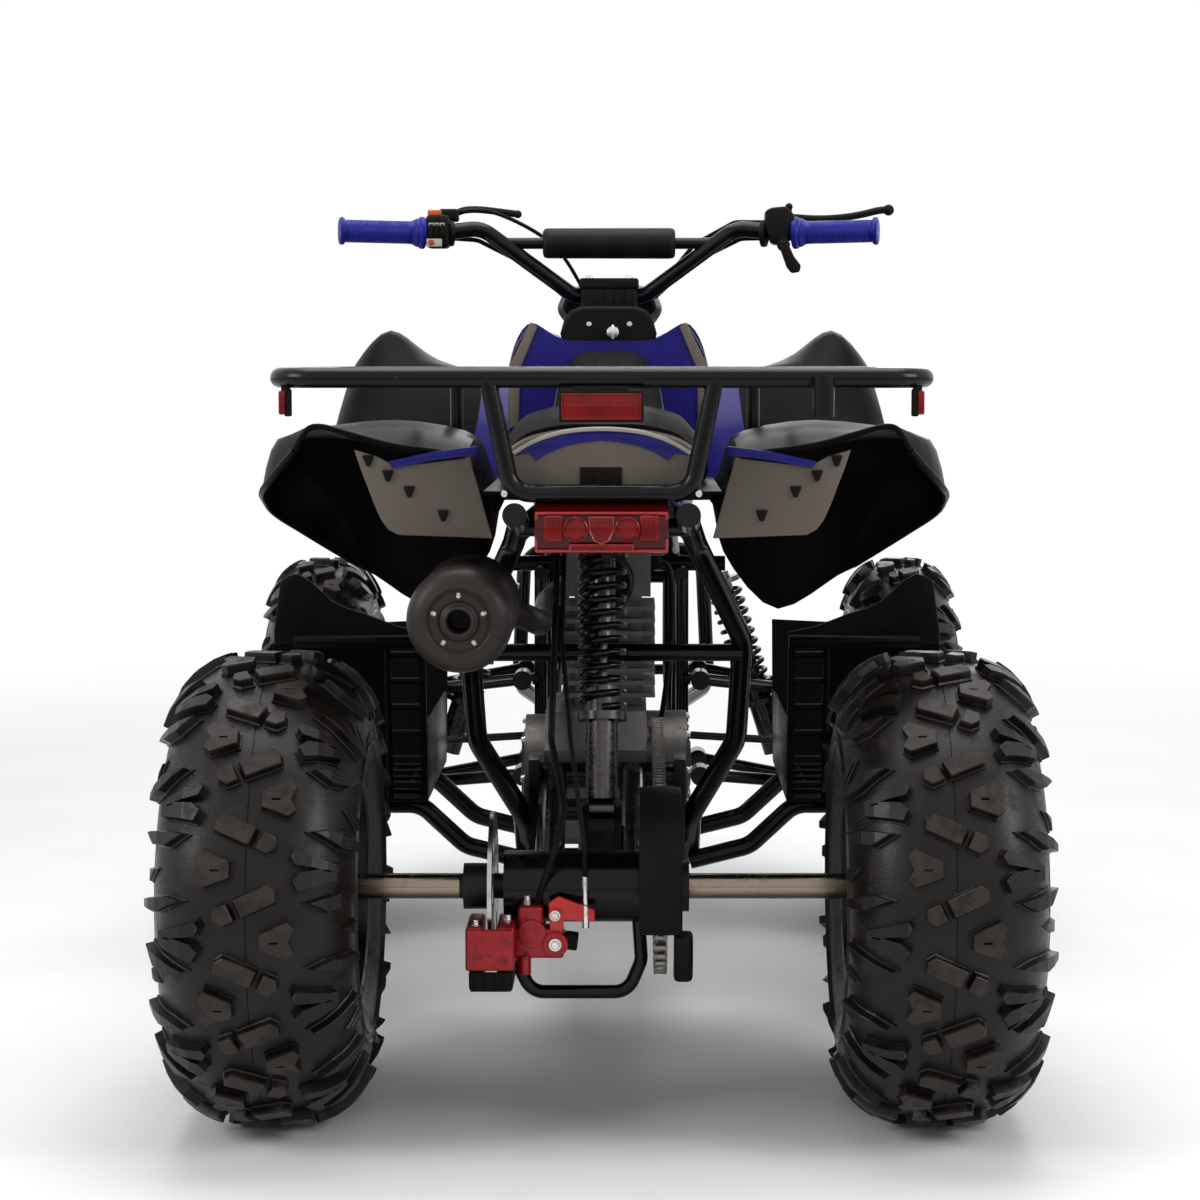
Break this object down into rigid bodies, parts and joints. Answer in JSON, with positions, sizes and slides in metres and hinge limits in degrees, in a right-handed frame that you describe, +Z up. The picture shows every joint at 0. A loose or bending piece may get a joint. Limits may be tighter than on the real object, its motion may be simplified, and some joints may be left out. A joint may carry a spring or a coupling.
{
  "type": "quad bike",
  "caption": "Four-wheeled ride-on quad with lugged tyres, straddle seat, handlebar steering, rear cargo rack and chain drive.",
  "frame": {"origin": "on the ground under the middle of the machine", "axes": "+Z up, +Y forward, +X to the rider's right"},
  "size_m": [1.076, 1.739, 1.1169],
  "materials": {
    "frame_black": "gloss black enamel",
    "plastic_black": "moulded black, semi gloss",
    "plastic_matt": "grained black",
    "plastic_blue": "deep blue, glossy",
    "plastic_grey": "warm grey, satin",
    "seat_cover": "dark grey vinyl",
    "tyre_rubber": "worn black rubber",
    "rim_black": "satin black",
    "steel": "machined",
    "alloy": "cast, satin",
    "spring_black": "gloss black",
    "exhaust_black": "heat-proof matt black",
    "chain_steel": "oiled",
    "caliper_red": "red anodised",
    "grip_blue": "royal blue rubber",
    "lens_red": "red lens",
    "lens_clear": "clear lens",
    "pad_black": "padded sleeve"
  },
  "bodies": {
    "chassis": {"frame_side_tubes": "frame_black", "frame_upper_tubes": "frame_black", "frame_cross_members": "frame_black", "arm_towers": "frame_black", "steering_brackets": "frame_black", "suspension_arms": "frame_black", "swingarm": "frame_black", "shock_absorbers": "steel", "shock_springs": "spring_black", "drive_chain": "chain_steel", "chain_guard": "plastic_matt", "rear_caliper": "caliper_red", "brake_lines": "plastic_matt", "front_bumper": "frame_black", "skid_plate": "plastic_matt", "engine": "alloy", "muffler": "exhaust_black", "exhaust_pipe": "exhaust_black", "seat": "seat_cover", "tank_cover": "plastic_blue", "nose_cover": "plastic_blue", "front_fender": "plastic_black", "rear_fender": "plastic_black", "rear_side_panels": "plastic_grey", "side_panel_bands": "plastic_blue", "tail_cover": "plastic_grey", "footwells": "plastic_matt", "footrest_bars": "frame_black", "rear_rack": "frame_black", "rack_supports": "frame_black", "reflectors": "lens_red", "rack_brackets": "frame_black", "tail_light": "lens_red"},
    "rear_axle": {"rear_tyres": "tyre_rubber", "rear_rims": "rim_black", "rear_axle_shaft": "steel", "rear_brake_disc": "steel", "rear_sprocket": "steel"},
    "steering": {"steering_stem": "frame_black", "handlebar": "frame_black", "bar_pad": "pad_black", "handlebar_clamp": "frame_black", "grips": "grip_blue", "control_housings": "plastic_matt", "control_levers": "plastic_matt", "control_cables": "plastic_matt", "headlight_pod": "plastic_black", "headlight_lens": "lens_clear"},
    "right_knuckle": {"right_knuckle": "frame_black"},
    "left_knuckle": {"left_knuckle": "frame_black"},
    "right_tie_rod": {"right_tie_rod": "frame_black"},
    "left_tie_rod": {"left_tie_rod": "frame_black"},
    "front_right_wheel": {"front_right_tyre": "tyre_rubber", "front_right_rim": "rim_black", "front_right_hub": "rim_black"},
    "front_left_wheel": {"front_left_tyre": "tyre_rubber", "front_left_rim": "rim_black", "front_left_hub": "rim_black"}
  },
  "joints": [
    {"name": "steering", "type": "hinge", "parent": "chassis", "child": "steering", "pos_m": [0, 0.14, 0.985], "axis": [0, -0.4361, 0.8999], "range_deg": [-32, 32]},
    {"name": "right_knuckle_pivot", "type": "hinge", "parent": "chassis", "child": "right_knuckle", "pos_m": [0.385, 0.54, 0.292], "axis": [0, 0, 1], "range_deg": [-33, 33]},
    {"name": "right_tie_rod_ball", "type": "hinge", "parent": "steering", "child": "right_tie_rod", "pos_m": [0.015, 0.4082, 0.31232], "axis": [0, -0.4361, 0.8999], "range_deg": [-33, 33]},
    {"name": "front_right_wheel_spin", "type": "hinge", "parent": "right_knuckle", "child": "front_right_wheel", "pos_m": [0.453, 0.54, 0.292], "axis": [1, 0, 0], "continuous": true},
    {"name": "left_knuckle_pivot", "type": "hinge", "parent": "chassis", "child": "left_knuckle", "pos_m": [-0.385, 0.54, 0.292], "axis": [0, 0, 1], "range_deg": [-33, 33]},
    {"name": "left_tie_rod_ball", "type": "hinge", "parent": "steering", "child": "left_tie_rod", "pos_m": [-0.015, 0.4082, 0.31232], "axis": [0, -0.4361, 0.8999], "range_deg": [-33, 33]},
    {"name": "front_left_wheel_spin", "type": "hinge", "parent": "left_knuckle", "child": "front_left_wheel", "pos_m": [-0.453, 0.54, 0.292], "axis": [1, 0, 0], "continuous": true},
    {"name": "rear_axle_spin", "type": "hinge", "parent": "chassis", "child": "rear_axle", "pos_m": [0, -0.59, 0.279], "axis": [1, 0, 0], "continuous": true}
  ],
  "couplings": [
    {"joint": "right_knuckle_pivot", "follows": "steering", "ratio": 1},
    {"joint": "right_tie_rod_ball", "follows": "steering", "ratio": -1},
    {"joint": "left_knuckle_pivot", "follows": "steering", "ratio": 1},
    {"joint": "left_tie_rod_ball", "follows": "steering", "ratio": -1}
  ]
}
